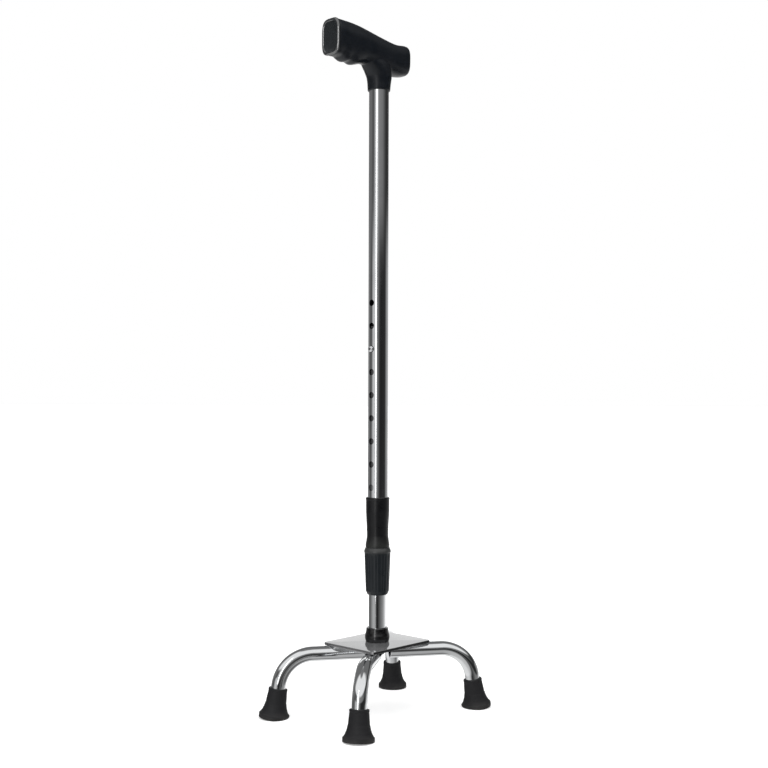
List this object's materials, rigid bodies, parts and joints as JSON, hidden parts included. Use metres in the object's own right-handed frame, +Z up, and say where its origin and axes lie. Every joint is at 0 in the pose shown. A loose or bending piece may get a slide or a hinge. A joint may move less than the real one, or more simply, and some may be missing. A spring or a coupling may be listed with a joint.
{
  "type": "quad walking cane",
  "caption": "Height-adjustable walking cane: moulded T handle, telescopic chrome pole with snap button and lock nut, flat plate and splayed legs with rubber tips.",
  "frame": {"origin": "on the floor under the pole's axis", "axes": "+Z up along the pole, +X towards the handle's short nose, +Y to the left; the adjustment holes and the snap button face -X"},
  "size_m": [0.2214, 0.1616, 0.7504],
  "materials": {
    "outer_tube_chrome": "polished",
    "inner_tube_chrome": "polished",
    "plate_chrome": "polished",
    "leg_chrome": "polished",
    "button_chrome": "polished",
    "spring_steel": "satin",
    "plug_steel": "satin",
    "bolt_steel": "zinc plated",
    "screw_steel": "satin",
    "disc_steel": "satin",
    "handle_plastic": "satin, fine moulded grain",
    "cap_plastic": "semi-gloss",
    "collar_plastic": "satin",
    "nut_plastic": "satin",
    "hub_plastic": "gloss",
    "ferrule_nylon": "natural nylon",
    "tip_rubber": "matt moulded rubber"
  },
  "bodies": {
    "base": {"base_plate": "plate_chrome", "leg_front_left": "leg_chrome", "leg_front_right": "leg_chrome", "leg_rear_left": "leg_chrome", "leg_rear_right": "leg_chrome", "tip_front_left": "tip_rubber", "tip_front_right": "tip_rubber", "tip_rear_left": "tip_rubber", "tip_rear_right": "tip_rubber", "tip_disc_front_left": "disc_steel", "tip_disc_front_right": "disc_steel", "tip_disc_rear_left": "disc_steel", "tip_disc_rear_right": "disc_steel", "hub_boss": "hub_plastic", "tube_plug": "plug_steel", "base_bolt": "bolt_steel", "base_washer": "bolt_steel", "base_lock_washer": "bolt_steel", "lower_tube": "inner_tube_chrome", "button_spring": "spring_steel"},
    "button": {"snap_button": "button_chrome"},
    "upper_section": {"upper_tube": "outer_tube_chrome", "handle_body": "handle_plastic", "handle_end_cap": "cap_plastic", "handle_screw": "screw_steel", "collar_sleeve": "collar_plastic"},
    "ferrule": {"split_ferrule": "ferrule_nylon"},
    "nut": {"lock_nut": "nut_plastic"}
  },
  "joints": [
    {"name": "height_slide", "type": "slide", "parent": "base", "child": "upper_section", "axis": [0, 0, 1], "range_m": [0, 0.1524]},
    {"name": "button_press", "type": "slide", "parent": "base", "child": "button", "axis": [1, 0, 0], "range_m": [0, 0.0042], "stiffness_N_per_m": 1500, "springref_m": -0.003, "deforming": ["button_spring"]},
    {"name": "ferrule_slide", "type": "slide", "parent": "upper_section", "child": "ferrule", "axis": [0, 0, -1], "range_m": [0, 0.002]},
    {"name": "nut_turn", "type": "hinge", "parent": "ferrule", "child": "nut", "pos_m": [0, 0, 0.153], "axis": [0, 0, -1], "range_deg": [0, 360]}
  ],
  "couplings": [
    {"joint": "ferrule_slide", "follows": "nut_turn", "m_per_rad": 0.000318}
  ]
}
